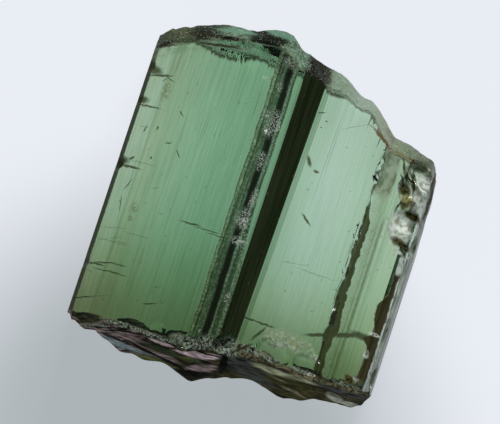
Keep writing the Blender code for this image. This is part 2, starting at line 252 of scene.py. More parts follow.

# What covers the lower fracture, in the order it is laid on: (colour, softness, marks),
# each mark (across, along the leaning axis, half length, half width, turn in degrees if any).
# Its pink and pinkish grey coats are painted reflections, and its thin brown lines painted highlights.
LOWER_PAINT_AND_REFLECTIONS = (
    (SLATE, 0.3, ((4.95, 0.55, 0.72, 0.26, -10), (7.35, 0.78, 0.75, 0.1))),
    (OLIVE, 0.4, ((6.3, 0.48, 0.85, 0.13), (4.7, 0.2, 0.45, 0.08), (6.1, 0.2, 0.4, 0.06))),
    ((0.2, 0.26, 0.27), 0.3, ((1.55, 0.09, 0.8, 0.08),)),
    ((0.36, 0.4, 0.25), 0.5, ((5.55, 0.7, 0.42, 0.07), (6.2, 0.72, 0.45, 0.055))),
    ((0.21, 0.18, 0.12), 0.4, ((6.15, 0.34, 0.36, 0.035, -10), (5.72, 0.55, 0.2, 0.015, -10))),
    ((0.36, 0.41, 0.33), 0.4, ((7.22, 0.53, 0.22, 0.09, -10), (7.65, 0.48, 0.25, 0.06))),
    ((0.64, 0.52, 0.56), 0.2, ((3.5, 0.49, 0.68, 0.095, 10), (2.55, 0.51, 0.36, 0.04))),
    ((0.26, 0.21, 0.21), 0.3, ((2.25, 0.26, 0.8, 0.12, -10), (3.75, 0.2, 0.4, 0.11, 20))),
    ((0.045, 0.06, 0.03), 0.2, ((2.85, 0.33, 0.98, 0.075),)),
    ((0.1, 0.12, 0.04), 0.7, ((3.25, 0.32, 0.16, 0.06), (2.5, -0.06, 0.5, 0.07))),
    (BLACK, 0.3, (
        (3.3, 0.6, 1.1, 0.022), (1.6, 0.5, 0.55, 0.02, 10), (2.35, 0.42, 0.5, 0.014),
        (2.6, 0.12, 1, 0.045, -10), (3.5, -0.03, 0.55, 0.08, 10), (1.4, 0.21, 0.5, 0.024),
        (4.36, 0.48, 0.12, 0.3),
    )),
)
# The crushed rim above the lower fracture, measured in the same way
CRUSHED_RIM = (
    (0.7, 0.38, 0.4, 0.07, 20), (1.5, 0.67, 0.55, 0.06), (2.35, 0.67, 0.5, 0.06), (3.2, 0.8, 0.45, 0.13),
    (3.85, 0.92, 0.5, 0.2), (4.35, 0.95, 0.3, 0.24), (4.85, 1.06, 0.48, 0.09), (5.45, 1, 0.22, 0.05),
    (6.2, 0.98, 0.3, 0.05), (7.25, 0.99, 0.45, 0.045),
)
BROWN_RIM = (
    (5, 0.88, 0.45, 0.07), (6, 0.86, 0.65, 0.08), (6.42, 0.88, 0.3, 0.09), (7.3, 0.88, 0.85, 0.04),
)
# What covers the worn upper edge, measured in the same way; its green coat is a painted highlight
WORN_PAINT_AND_HIGHLIGHTS = (
    ((0.04, 0.055, 0.028), 0.5, ((1.6, 8.24, 0.6, 0.04, 10), (0.6, 8.06, 0.5, 0.06, 20))),
    ((0.13, 0.25, 0.17), 0.4, ((1.85, 8.72, 0.45, 0.06, 10), (3, 9, 0.45, 0.08))),
    ((0.16, 0.11, 0.045), 0.6, ((6.3, 7.26, 0.42, 0.035, -30), (7.2, 6.98, 0.5, 0.03, -10))),
    ((0.014, 0.014, 0.007), 0.4, ((1.08, 8.38, 0.24, 0.12, 20), (1.65, 8.47, 0.42, 0.05, 10))),
    ((0.008, 0.01, 0.005), 0.3, ((2.74, 8.74, 0.46, 0.13, 10), (0.2, 7.83, 0.22, 0.05, 40))),
)

# Marks on the front faces: (across, along, half length, half width, turn in degrees if any)
CRACKS = (
    (0.12, 6.66, 0.26, 0.11, -10), (0.36, 6.54, 0.3, 0.03, 10), (0.62, 6.51, 0.16, 0.014, -20),
    (0.5, 6.45, 0.06, 0.012, 40), (0.07, 5.83, 0.2, 0.1), (0.32, 5.69, 0.3, 0.026),
    (0.08, 4.17, 0.2, 0.11), (0.33, 4.04, 0.3, 0.03), (0.33, 4.27, 0.08, 0.03, 40),
    (0.55, 1.47, 0.35, 0.02, 10), (0.72, 1.27, 0.4, 0.018), (0.3, 1.38, 0.24, 0.024),
    (0.95, 1.51, 0.12, 0.014), (0.22, 0.45, 0.3, 0.016, 20), (2.3, 3.03, 0.26, 0.024),
    (2.75, 2.98, 0.34, 0.014), (3.05, 2.92, 0.25, 0.014), (1.95, 0.75, 0.16, 0.018, 20),
    (4.97, 5.4, 0.07, 0.035, -10), (4.62, 1.22, 0.62, 0.02), (5.05, 1.21, 0.2, 0.018),
    (6.3, 1.42, 0.35, 0.045, 20), (6.95, 1.66, 0.36, 0.065, 20), (7.35, 1.78, 0.3, 0.085),
    (4.96, 0.94, 0.24, 0.034, 60), (4.72, 0.47, 0.22, 0.04, 40), (4.62, 6.91, 0.1, 0.014, 20),
    (4.8, 6.74, 0.03, 0.02), (4.72, 6.54, 0.03, 0.014), (5.13, 4.13, 0.17, 0.03, -40),
    (4.72, 5.6, 0.15, 0.05, -60), (1.42, 4.68, 0.1, 0.016, -50), (1.1, 4.88, 0.1, 0.014, 20),
    (1.2, 5.7, 0.09, 0.014, -40), (0.42, 5.09, 0.1, 0.014, 80), (0.72, 5.19, 0.05, 0.025, 90),
    (0.8, 4.4, 0.04, 0.02, 90), (0.45, 3.57, 0.16, 0.014, 70), (0.42, 3.06, 0.2, 0.012, 100),
    (7.03, 6.32, 0.2, 0.03, -70), (7.1, 5.99, 0.12, 0.03, -50), (7.45, 6.18, 0.24, 0.035, 80),
    (7.72, 5.19, 0.22, 0.05, -20), (7.64, 4.37, 0.28, 0.085, -10), (7.72, 4.16, 0.14, 0.04, -20),
)
FAINT_CRACKS = (
    (0.62, 4.21, 0.34, 0.014), (0.5, 2.04, 0.45, 0.012), (0.5, 0.54, 0.35, 0.014, 20),
    (1.1, 2.36, 0.3, 0.012), (0.45, 2.4, 0.3, 0.012, 10), (5.12, 5.73, 1.16, 0.008, 90),
    (5.18, 6.09, 0.5, 0.008, 90), (5.75, 2.87, 0.45, 0.014), (5.2, 2.95, 0.3, 0.01, 10),
    (5.55, 6.85, 0.35, 0.01, 30), (0.62, 6.08, 0.8, 0.01, 90), (0.7, 6.99, 0.3, 0.016, 90),
    (6.5, 2.66, 0.2, 0.02), (2.95, 6.48, 0.4, 0.01, 90), (1.9, 5.61, 0.5, 0.008, 90),
    (2.4, 3.97, 0.6, 0.008, 90),
)
STAINS = (
    (0.8, 3.04, 0.1, 0.13), (0.78, 2.73, 0.05, 0.07), (0.62, 6.18, 0.1, 0.22), (7.28, 6.4, 0.1, 0.06),
)
OLIVE_PITS = ((7.42, 5.48, 0.15, 0.19),)
GREY_BLOBS = ((7.22, 6.24, 0.19, 0.2), (7.56, 6.43, 0.22, 0.09))
PITS = (
    (7.24, 5.78, 0.16, 0.21, 10), (7.18, 6.25, 0.035, 0.34, 10), (7.62, 4.38, 0.28, 0.1, -10),
    (7.72, 5.19, 0.2, 0.1, -20), (7.38, 0.62, 0.16, 0.1, -30), (7.88, 6.28, 0.05, 0.33),
    (7.45, 6.02, 0.04, 0.3, 10), (7.95, 5.78, 0.05, 0.6),
)
FROST_PATCHES = (
    (7.42, 4.84, 0.3, 0.42, -20), (7.5, 4.59, 0.3, 0.22, 50), (7.7, 5.83, 0.17, 0.5),
    (7.6, 4.16, 0.18, 0.035, -10), (7.62, 1.39, 0.07, 0.09), (7.86, 1.37, 0.06, 0.06),
    (7.92, 1.01, 0.05, 0.08), (7.5, 0.69, 0.14, 0.05, -10), (7.66, 1.94, 0.16, 0.05, 10),
    (7.74, 3.86, 0.09, 0.27), (3.72, 2.96, 0.13, 0.035),
)
# the last row is a painted glint on the face left of the ridge, not a bruise
BRUISES_AND_GLINT = (
    (3.5, 6.11, 0.16, 0.28), (3.3, 6.26, 0.1, 0.12), (3.52, 3.53, 0.15, 0.22), (3.45, 7.78, 0.16, 0.12),
    (3.36, 7.07, 0.08, 0.1), (3.58, 2.95, 0.14, 0.1), (3.5, 5.1, 0.08, 0.2), (3.62, 4.1, 0.08, 0.25),
    (3.6, 3.62, 0.12, 0.12), (3.78, 1.5, 0.05, 0.1), (2.95, 7.16, 0.07, 0.06),
)
VEILS = ((5.75, 1, 0.62, 0.22, -10), (5.38, 0.88, 0.34, 0.13), (6.25, 0.82, 0.2, 0.08))

# The surface: the centre of the painted shadow on it, the distances over which that painted shadow pales,
# and those over which the glow fades out
SHADOW_CENTRE = (-0.7 * MM, -7.07 * MM, 0.0)
SHADOW_REACH = (3.9 * MM, 9.5 * MM)
POOL_REACH = (9.0 * MM, 20.0 * MM)
SURFACE_FINISH = (
    ("Base Color", (0.1, 0.1, 0.11, 1)),
    ("Roughness", 0.9),
    ("Specular IOR Level", 0.1),
    ("Emission Strength", 1),
)
SURFACE_DROP = 0.02 * MM  # gap under the crystal, so that their faces don't meet

# Soft lights that face the crystal: (name, place, side, watts, colour), in metres
SOFTBOXES = (
    ("far_softbox", (0.02, 0.2, 0.14), 0.1, 0.6, (1, 1, 1)),
    ("near_softbox", (-0.06, -0.2, 0.03), 0.16, 0.25, (1, 0.93, 0.95)),
)
WORLD_COLOUR = (0.5, 0.52, 0.55, 1.0)
WORLD_STRENGTH = 0.12


def length_setting(name, description, default):
    """A length that can be changed."""
    return bpy.props.FloatProperty(
        name=name, description=description, default=default, unit="LENGTH", precision=6
    )


def colour_setting(name, description, default):
    """A colour that can be changed."""
    return bpy.props.FloatVectorProperty(
        name=name, description=description, default=default, subtype="COLOR", min=0.0, max=1.0
    )


def angle_setting(name, description, degrees):
    """An angle that can be changed."""
    return bpy.props.FloatProperty(
        name=name, description=description, default=math.radians(degrees), subtype="ANGLE"
    )


class CrystalSizes(bpy.types.PropertyGroup):
    """How finely the stone is worked, and its colour."""

    cell: length_setting("Fracture cell", "Spacing of the lines that divide the fractures", 0.07 * MM)
    rows: bpy.props.IntProperty(name="Rows", description="Rows of faces along the prism", default=90)
    groove_depth: length_setting("Groove depth", "Depth of the deepest growth groove", 0.008 * MM)
    relief: length_setting("Fracture relief", "Height of the waves on the fractures", 0.16 * MM)
    absorbed: colour_setting("Stone colour", "Colour that the stone lets through", (0.39, 0.82, 0.47))
    absorption: bpy.props.FloatProperty(
        name="Absorption", description="How strongly the stone absorbs light, per metre", default=200.0
    )


class StageSizes(bpy.types.PropertyGroup):
    """The surface and the camera."""

    floor_size: length_setting("Surface size", "Side of the pale surface", 0.6)
    glow_colour: colour_setting("Surface glow", "Colour of the lit surface", (0.745, 0.775, 0.825))
    # colour of the painted shadow on the surface
    shadow_colour: colour_setting("Painted shadow", "Colour of the painted shadow", (0.4, 0.44, 0.46))
    far_colour: colour_setting("Far glow", "Colour away from the crystal", (0.2, 0.21, 0.22))
    frame_width: length_setting("Frame width", "Width of what the camera takes in", 12.9 * MM)
    camera_distance: length_setting("Camera distance", "Distance to the crystal", 0.165)
    camera_tilt: angle_setting("Camera tilt", "Lean of the camera to the lower fracture", 9.0)
    camera_roll: angle_setting("Camera roll", "Lean of the prism to the right in the picture", 18.2)


def smooth_step(share):
    """0 to 1 with level ends."""
    share = min(max(share, 0.0), 1.0)
    return share * share * (3.0 - 2.0 * share)


def between(rows, across):
    """The rows' values at one place across the prism, blended from the rows on either side."""
    for left, right in zip(rows, rows[1:]):
        if across < right[0]:
            share = smooth_step((across - left[0]) / (right[0] - left[0]))
            return [a + (b - a) * share for a, b in zip(left[1:], right[1:])]
    return list(rows[-1][1:])


def front_height(across):
    """Height of the front outline above the back face."""
    for left, right in zip(FRONT, FRONT[1:]):
        if across < right[0]:
            share = max(across - left[0], 0.0) / (right[0] - left[0])
            return left[1] + (right[1] - left[1]) * share
    return FRONT[-1][1]


def waves(across, up, seed, relief):
    """Uneven relief of a fracture: broad waves, and small shell-shaped hollows side by side."""
    place = Vector((across, up, 0.0)) + seed
    from_centre = noise.voronoi(place * 0.9)[0][0]
    return relief * (noise.noise(place * 0.8) - 1.3 * from_centre * from_centre)


def crumbled(across, up, seed, reach):
    """Crumbling along a fracture's front edge, fading out with depth."""
    share = smooth_step(1.0 - (front_height(across) - up) / reach)
    place = Vector((across, up, 0.0)) + seed
    return share * CRUMBLE * (noise.noise(place * 2.5) + 0.6 * noise.noise(place * 8.0))


def layers(across, up):
    """Thin steps of the stone's growth layers on a fracture."""
    return LAYER_RELIEF * noise.noise(Vector((across * 0.8, up * 5.0, 7.0)))


def hollow(across, up, hollows):
    """Depth of the deepest shell-shaped hollow at a place on a fracture."""
    deepest = 0.0
    for middle_across, middle_up, radius, depth in hollows:
        reach = math.hypot(across - middle_across, up - middle_up) / radius
        deepest = max(deepest, depth * (1.0 - reach * reach))
    return deepest


def upper_height(across, up, relief):
    """Height of the upper fracture along the prism; its front edge is worn to a slope."""
    front, back = between(UPPER_BREAK, across)
    crest = front_height(across) - WORN_EDGE
    height = back + (front - back) * min(up / crest, 1.0)
    height -= WORN_SLOPE * max(up - crest, 0.0)
    height -= hollow(across, up, UPPER_HOLLOWS) + waves(across, up, UPPER_SEED, relief)
    return height - crumbled(across, up, UPPER_SEED, 0.8) - layers(across, up)


def lower_height(across, up, relief):
    """Height of the lower fracture along the prism."""
    front, back = between(LOWER_BREAK, across)
    height = back + (front - back) * min(up / front_height(across), 1.0)
    height += hollow(across, up, LOWER_HOLLOWS) + waves(across, up, LOWER_SEED, relief)
    return height + crumbled(across, up, LOWER_SEED, 0.35) + layers(across, up)


def striated(start, end, grooves, groove_depth, scatter):
    """Points from start up to end, alternately on the face and down in a groove."""
    run = Vector((end[0] - start[0], end[1] - start[1]))
    inward = Vector((run.y, -run.x)).normalized()
    points = [Vector(start[:2])]
    for groove in range(grooves):
        for step, depth in ((0.35, scatter.uniform(0.1, 1.0)), (0.75, scatter.uniform(0.0, 0.25))):
            share = (groove + step + scatter.uniform(-0.12, 0.12)) / grooves
            points.append(Vector(start[:2]) + run * share + inward * (groove_depth * depth))
    return points


def divide(bm, spacing, length, axis):
    """Cut every face along evenly spaced planes that cross one axis."""
    normal = Vector((0, 0, 0))
    normal[axis] = 1.0
    for number in range(1, math.ceil(length / spacing)):
        bmesh.ops.bisect_plane(
            bm,
            geom=bm.verts[:] + bm.edges[:] + bm.faces[:],
            dist=spacing * 0.2,
            plane_co=normal * (number * spacing),
            plane_no=normal,
        )


def prism_mesh(sizes):
    """The prism, one unit long, with its ends divided into cells and its sides into rows."""
    scatter = random.Random(SCATTER_SEED)
    bm = bmesh.new()
    outline = []
    for start, end in zip(SECTION, SECTION[1:] + SECTION[:1]):
        outline += striated(start, end, start[2], sizes.groove_depth / MM, scatter)
    bm.faces.new([bm.verts.new((point.x, 0.0, point.y)) for point in outline])
    divide(bm, sizes.cell / MM, WIDTH, 0)
    divide(bm, sizes.cell / MM, RIDGE_HEIGHT, 2)
    raised = bmesh.ops.extrude_face_region(bm, geom=bm.faces[:])["geom"]
    bmesh.ops.translate(
        bm,
        verts=[item for item in raised if isinstance(item, bmesh.types.BMVert)],
        vec=(0, 1, 0),
    )
    divide(bm, 1.0 / sizes.rows, 1.0, 1)
    return bm


def note_places(bm):
    """Note each point's place, share of the length and depth below the front, for its colour."""
    drawn = bm.verts.layers.float_vector.new("drawn")
    wear = bm.verts.layers.float_vector.new("wear")
    for vert in bm.verts:
        vert[drawn] = vert.co
        vert[wear] = (vert.co.y, front_height(vert.co.x) - vert.co.z, 0.0)


def lean_step(bm):
    """Narrow the step in the front faces towards the lower fracture."""
    for vert in bm.verts:
        left, up = between(STEP_LEAN, vert.co.x)
        share = 1.0 - vert.co.y
        raised = up * share * vert.co.z / front_height(vert.co.x)
        vert.co += Vector((-left * share, 0.0, raised))


def break_ends(bm, relief):
    """Spread the unit prism along Y between its two fractures."""
    drawn = bm.verts.layers.float_vector["drawn"]
    for vert in bm.verts:
        low = lower_height(vert.co.x, vert.co.z, relief)
        high = upper_height(vert.co.x, vert.co.z, relief)
        vert.co.y = low + (high - low) * vert.co.y
        across, _, up = vert[drawn]
        vert[drawn] = (across, vert.co.y, up)


def knock_chip(bm, centre, half, blow):
    """Push the points inside a lumpy ball on to its far side, along the blow."""
    centre = Vector((centre[0], centre[1], centre[2] + front_height(centre[0])))
    unit = Vector([1.0 / extent for extent in half])
    way = Vector((blow[0], 0.0, blow[1])).normalized()
    scaled_way = way * unit
    reach = CHIP_LIMIT * half[1]
    for vert in bm.verts:
        if abs(vert.co.y - centre.y) > reach:
            continue
        from_centre = (vert.co - centre) * unit
        if from_centre.length_squared > CHIP_LIMIT**2:
            continue
        size = 1.0 + LUMPINESS * noise.noise(vert.co * 2.5)
        along = from_centre.dot(scaled_way) / scaled_way.length_squared
        inside = size * size - from_centre.length_squared
        if inside > 0.0:
            push = math.sqrt(along * along + inside / scaled_way.length_squared) - along
            vert.co += way * push


def chip_edges(bm):
    """The large chips, and the small ones scattered along the ridge and the ledge."""
    scatter = random.Random(SCATTER_SEED + 1)
    for centre, half, blow in CHIPS:
        knock_chip(bm, centre, half, blow)
    for _ in range(RIDGE_CHIPS):
        across = scatter.uniform(3.18, 3.7)
        centre = (across, scatter.uniform(0.6, 7.8), 0.04)
        half = (scatter.uniform(0.04, 0.09), scatter.uniform(0.15, 0.5), 0.07)
        knock_chip(bm, centre, half, (scatter.uniform(-0.2, 0.2), -1.0))
    for _ in range(LEDGE_CHIPS):
        centre = (scatter.uniform(6.44, 6.58), scatter.uniform(0.9, 6.4), 0.05)
        half = (scatter.uniform(0.05, 0.12), scatter.uniform(0.15, 0.5), 0.12)
        knock_chip(bm, centre, half, (scatter.uniform(-0.3, 0.3), -1.0))


def roughen(bm):
    """Fine growth lines on the front faces, and the frosted crest of the ridge."""
    drawn = bm.verts.layers.float_vector["drawn"]
    wear = bm.verts.layers.float_vector["wear"]
    for vert in bm.verts:
        across, along, _ = vert[drawn]
        if vert[wear].y > FRONT_SKIN:
            continue
        lines = noise.noise(Vector((across * 9.0, along * 0.35, 3.0)))
        grain = noise.noise(Vector((across * 9.0, along * 4.0, 5.0)))
        fine, coarse = between(ROUGHNESS_ACROSS, across)
        vert.co.z += fine * lines - coarse * abs(grain)


def place_in_solid(bm):
    """Bring the mesh from the tables' millimetres to its place, inside the solid's box."""
    low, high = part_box(CRYSTAL_NODE)
    for vert in bm.verts:
        place = (vert.co - DRAWN_MIDDLE) * MM
        vert.co = [min(max(place[axis], low[axis]), high[axis]) for axis in range(3)]


class Palette:
    """Adds the nodes of one material; most methods return the new node's output."""

    def __init__(self, tree):
        self.tree = tree

    def node(self, kind, values, **settings):
        """Add a node and set it up; values maps an input to a socket, which is linked, or a value."""
        node = self.tree.nodes.new("ShaderNode" + kind)
        for name, value in settings.items():
            setattr(node, name, value)
        for key, value in values.items():
            if isinstance(value, bpy.types.NodeSocket):
                self.tree.links.new(value, node.inputs[key])
            else:
                node.inputs[key].default_value = value
        return node

    def attribute(self, name):
        return self.node("Attribute", {}, attribute_name=name).outputs["Vector"]

    def parts(self, vector):
        return self.node("SeparateXYZ", {0: vector}).outputs

    def joined(self, *values):
        return self.node("CombineXYZ", dict(enumerate(values))).outputs[0]

    def vectors(self, operation, *values):
        """Vector arithmetic that gives a vector."""
        return self.node("VectorMath", dict(enumerate(values)), operation=operation).outputs["Vector"]

    def measure(self, operation, *values):
        """Vector arithmetic that gives a number."""
        return self.node("VectorMath", dict(enumerate(values)), operation=operation).outputs["Value"]

    def maths(self, operation, *values):
        return self.node("Math", dict(enumerate(values)), operation=operation).outputs[0]

    def less(self, value, taken):
        return self.maths("SUBTRACT", value, taken)

    def product(self, *values):
        return functools.reduce(functools.partial(self.maths, "MULTIPLY"), values)

    def highest(self, *values):
        return functools.reduce(functools.partial(self.maths, "MAXIMUM"), values)

    def rise(self, value, start, end, low=0.0, high=1.0):
        """low before start, high after end, smooth between them."""
        ranges = {"Value": value, "From Min": start, "From Max": end, "To Min": low, "To Max": high}
        return self.node("MapRange", ranges, interpolation_type="SMOOTHSTEP").outputs["Result"]

    def within(self, value, low, high, soft):
        """1 from low to high, fading out over soft."""
        return self.product(
            self.rise(value, low - soft, low + soft), self.rise(value, high + soft, high - soft)
        )

    def clouds(self, vector, scale, detail=2.0, shift=(0, 0, 0)):
        """Noise about 0.5, with scale in waves for each millimetre."""
        place = self.node("Mapping", {"Vector": vector, "Scale": scale, "Location": shift}).outputs[0]
        return self.node("TexNoise", {"Vector": place, "Scale": 1.0, "Detail": detail}).outputs["Fac"]

    def ramp(self, value, stops, span=1.0):
        """Blend between stops, each (place, (red, green, blue)), with places from 0 to span."""
        node = self.node("ValToRGB", {0: value if span == 1.0 else self.maths("DIVIDE", value, span)})
        elements = node.color_ramp.elements
        elements[0].position, elements[0].color = stops[0][0] / span, (*stops[0][1], 1.0)
        elements[1].position, elements[1].color = stops[-1][0] / span, (*stops[-1][1], 1.0)
        for place, colour in stops[1:-1]:
            elements.new(place / span).color = (*colour, 1.0)
        return node.outputs["Color"]

    def mix(self, share, first, second, blend="MIX"):
        values = {"Factor": share}
        for socket, colour in ((6, first), (7, second)):
            values[socket] = colour if isinstance(colour, bpy.types.NodeSocket) else (*colour, 1.0)
        return self.node("Mix", values, data_type="RGBA", blend_type=blend).outputs[2]

    def turned(self, vector, degrees):
        """The vector in axes turned by an angle."""
        turn = math.radians(degrees)
        axes = (math.cos(turn), math.sin(turn), 0.0), (-math.sin(turn), math.cos(turn), 0.0)
        return self.joined(*[self.measure("DOT_PRODUCT", vector, axis) for axis in axes])

    def marks(self, vector, rows, soft=0.45):
        """1 inside any of the marks; a mark with no turn lies straight across the prism."""
        nearest = None
        rows = [(*row, 0)[:5] for row in rows]
        for degrees in sorted({row[4] for row in rows}):
            turned = self.turned(vector, degrees)
            rotation = Matrix.Rotation(-math.radians(degrees), 2)
            for across, along, half_length, half_width, _ in (row for row in rows if row[4] == degrees):
                centre = rotation @ Vector((across, along))
                scale = (1.0 / half_length, 1.0 / half_width, 0.0)
                shift = (-centre.x / half_length, -centre.y / half_width, 0.0)
                reach = self.vectors("MULTIPLY_ADD", turned, scale, shift)
                square = self.measure("DOT_PRODUCT", reach, reach)
                nearest = square if nearest is None else self.maths("MINIMUM", nearest, square)
        return self.rise(nearest, (1.0 + soft) ** 2, (1.0 - soft) ** 2)


class StonePaint(Palette):
    """The stone's colour, cloudiness and haze, laid on one feature at a time."""

    def __init__(self, tree):
        super().__init__(tree)
        self.drawn = self.attribute("drawn")
        self.across, self.along, _ = self.parts(self.drawn)
        self.share, self.depth, _ = self.parts(self.attribute("wear"))
        self.flat = self.vectors("MULTIPLY", self.drawn, (1, 1, 0))
        self.leaning = self.joined(self.across, self.measure("DOT_PRODUCT", self.drawn, LEANING_AXIS))
        self.front = self.rise(self.depth, 0.16, 0.06)
        self.ragged = self.wandering(self.flat, 3.0, (0.22, 0.22))
        self.jagged = self.wandering(self.flat, 9.0, (0.05, 0.09))
        self.grain = self.clouds(self.drawn, (14, 14, 14), 3.0)
        self.crumbs = self.clouds(self.drawn, (38, 30, 38), 1.0)
        self.lines = self.clouds(self.flat, (16, 0.35, 1), 3.0)
        self.hairs = self.clouds(self.flat, (45, 1.2, 1), 2.0)
        self.colour = None
        self.cloudy = 0.0
        self.hazy = 0.0
        self.shells = 0.0

    def wandering(self, vector, scale, reach):
        """The vector, moved a little from place to place, so that what follows it is uneven."""
        moves = [
            self.product(self.less(self.clouds(vector, (scale,) * 3, 3.0, shift), 0.5), far)
            for far, shift in zip(reach, ((0, 0, 0), (17, 5, 0)))
        ]
        return self.vectors("ADD", vector, self.joined(*moves))

    def track(self, rows):
        """A place across the prism that changes along it: rows are (along, across)."""
        stops = [(along, (across / WIDTH,) * 3) for along, across in rows]
        blend = self.ramp(self.along, stops, LENGTH)
        return self.product(self.node("SeparateColor", {0: blend}).outputs[0], WIDTH)

    def between_tracks(self, across, left, right, soft):
        """1 between two places across the prism, fading out over soft."""
        after = self.rise(self.less(across, left), -soft, soft)
        before = self.rise(self.less(across, right), soft, -soft)
        return self.product(after, before)

    def on_front(self, *values):
        """The values' product on the front faces, and 0 elsewhere."""
        return self.product(self.front, *values)

    def tinge(self, tint, *shares):
        """Colour what shines through, by the product of the shares."""
        self.colour = self.mix(self.product(*shares), self.colour, tint)

    def shade(self, tint, *shares):
        """Multiply what shines through by a tint, by the product of the shares."""
        self.colour = self.mix(self.product(*shares), self.colour, tint, "MULTIPLY")

    def blur(self, amount, share):
        """Roughen the surface."""
        self.hazy = self.highest(self.hazy, self.product(share, amount))

    def cloud(self, tint, amount, *shares):
        """Cover with a cloudy layer of its own colour, which lets less light through."""
        share = self.product(*shares)
        self.tinge(tint, share)
        self.cloudy = self.highest(self.cloudy, self.product(share, amount))


def paint_faces(paint):
    """The green, its change across and along the prism, the painted shade on the step, and the growth
    lines.
    """
    paint.colour = paint.ramp(paint.across, TINTS, WIDTH)
    paint.shade(paint.ramp(paint.along, LENGTH_TINTS, LENGTH), 1.0)
    # painted shade: a dark tint and a thin cloudy layer on the steep step facet, adding to the dark band
    # that its total reflection gives
    step = paint.on_front(paint.within(paint.across, 3.885, 4.485, 0.01))
    paint.shade(STEP_SHADE, step)
    paint.cloud(paint.ramp(paint.lines, STEP_SHADE_BLEND), 0.6, step)
    strong = paint.rise(paint.across, 4.6, 3.8, 0.45, 0.9)
    paint.shade(paint.ramp(paint.lines, LINE_BLEND), strong)
    paint.shade(paint.ramp(paint.hairs, HAIR_BLEND), strong)
    paint.shade(LOW_RIGHT_TINT, paint.rise(paint.across, 4.4, 4.7), paint.rise(paint.along, 2.2, 0.7))
    specks = paint.rise(paint.clouds(paint.flat, (7, 6, 1), 1.0, (3, 0, 0)), 0.7, 0.76)
    paint.tinge(STAIN_TINT, paint.front, specks, 0.5)


def paint_ridge(paint):
    """The frosted crest, with its dark lines and its bruises, and a painted glint on the face left of it.
    """
    wander = paint.less(paint.clouds(paint.flat, (0.4, 1.2, 1)), 0.5)
    across = paint.maths("ADD", paint.across, paint.product(wander, 0.1))
    place = paint.maths("DIVIDE", paint.less(across, RIDGE_LEFT), RIDGE_SPAN)
    ridge = paint.on_front(paint.between_tracks(across, RIDGE_LEFT, paint.track(RIDGE_RIGHT), 0.01))
    bands = paint.ramp(place, RIDGE_BANDS)
    paint.shade(bands, ridge)
    streaks = paint.clouds(paint.flat, (22, 1.1, 1), 3.0, (5, 0, 0))
    paint.shade(paint.ramp(streaks, RIDGE_STREAKS), ridge)
    grains = paint.ramp(paint.grain, RIDGE_GRAINS)
    paint.cloud(paint.mix(1.0, grains, bands, "MULTIPLY"), 0.9, ridge, 0.5)
    paint.cloud(BLACK, 0.7, ridge, paint.within(place, 0.44, 0.6, 0.04))
    sprinkled = paint.rise(paint.clouds(paint.flat, (3, 0.8, 1), 2.0, (0, 9, 0)), 0.42, 0.6)
    right_of_line = paint.rise(place, 0.56, 0.62)
    white_grains = paint.rise(paint.crumbs, 0.58, 0.66)
    upper_half = paint.rise(paint.along, 2.0, 3.6, 0.15, 0.8)
    paint.cloud(BRUISE, 0.85, ridge, right_of_line, white_grains, sprinkled, upper_half)
    broken = paint.rise(paint.crumbs, 0.5, 0.58)
    # the bruises, and one painted glint on the face left of the ridge
    paint.cloud(BRUISE, 0.85, paint.front, paint.marks(paint.ragged, BRUISES_AND_GLINT, 0.6), broken, 0.8)
    paint.blur(0.2, ridge)


def paint_ledge(paint):
    """The dark ledge, the frosted and grainy strips by it, and the brown seam near the right edge."""
    across = paint.parts(paint.ragged)[0]
    left = paint.maths("ADD", LEDGE_LEFT, paint.product(paint.less(paint.lines, 0.5), 0.1))
    ledge = paint.on_front(paint.between_tracks(across, left, paint.track(LEDGE_RIGHT), 0.015))
    frost = paint.on_front(paint.within(across, 6.45, 6.92, 0.03), paint.rise(paint.along, 5.2, 5.6))
    patchy = paint.clouds(paint.drawn, (6, 4, 6), 3.0)
    paint.cloud(paint.ramp(patchy, FROSTED_LEDGE), 0.75, frost)
    grainy = paint.on_front(paint.within(across, 6.66, 6.86, 0.02), paint.rise(paint.grain, 0.4, 0.6))
    paint.cloud(LEDGE_FROST, 0.6, grainy, 0.35)
    fine = paint.parts(paint.jagged)[0]
    below = paint.rise(paint.along, 5.1, 4.6)
    dark_lines = paint.highest(
        paint.within(fine, 6.835, 6.86, 0.02), paint.within(fine, 6.93, 7.00, 0.025)
    )
    paint.tinge(LEDGE_BROWN, paint.front, dark_lines, below, 0.85)
    paint.tinge(paint.ramp(paint.lines, LEDGE_BLEND), ledge)
    paint.cloud(LEDGE_DARK, 0.6, ledge, 0.6)
    seam = paint.on_front(paint.between_tracks(across, paint.track(SEAM_LEFT), SEAM_RIGHT, 0.02))
    seam_ends = paint.rise(paint.along, 3.95, 3.75), paint.rise(paint.along, 0.5, 0.8)
    paint.cloud(paint.ramp(paint.lines, SEAM_BLEND), 0.8, seam, *seam_ends)
    paint.blur(0.15, ledge)
    paint.blur(0.3, frost)


def paint_edges(paint):
    """The dark edge on the left, which is painted shade, and the grey side on the right."""
    across = paint.parts(paint.jagged)[0]
    # painted shade: a dark cloudy layer over the left edge
    paint.cloud(EDGE_DARK, 0.85, paint.rise(across, 0.13, 0.09))
    paint.cloud(paint.ramp(paint.hairs, SIDE_BLEND), 0.7, paint.rise(across, 7.83, 7.88))


def paint_layers(paint, zone, place, coats, amount):
    """Lay colours over a zone, one after the other."""
    for tint, soft, rows in coats:
        paint.cloud(tint, amount, zone, paint.marks(place, rows, soft))


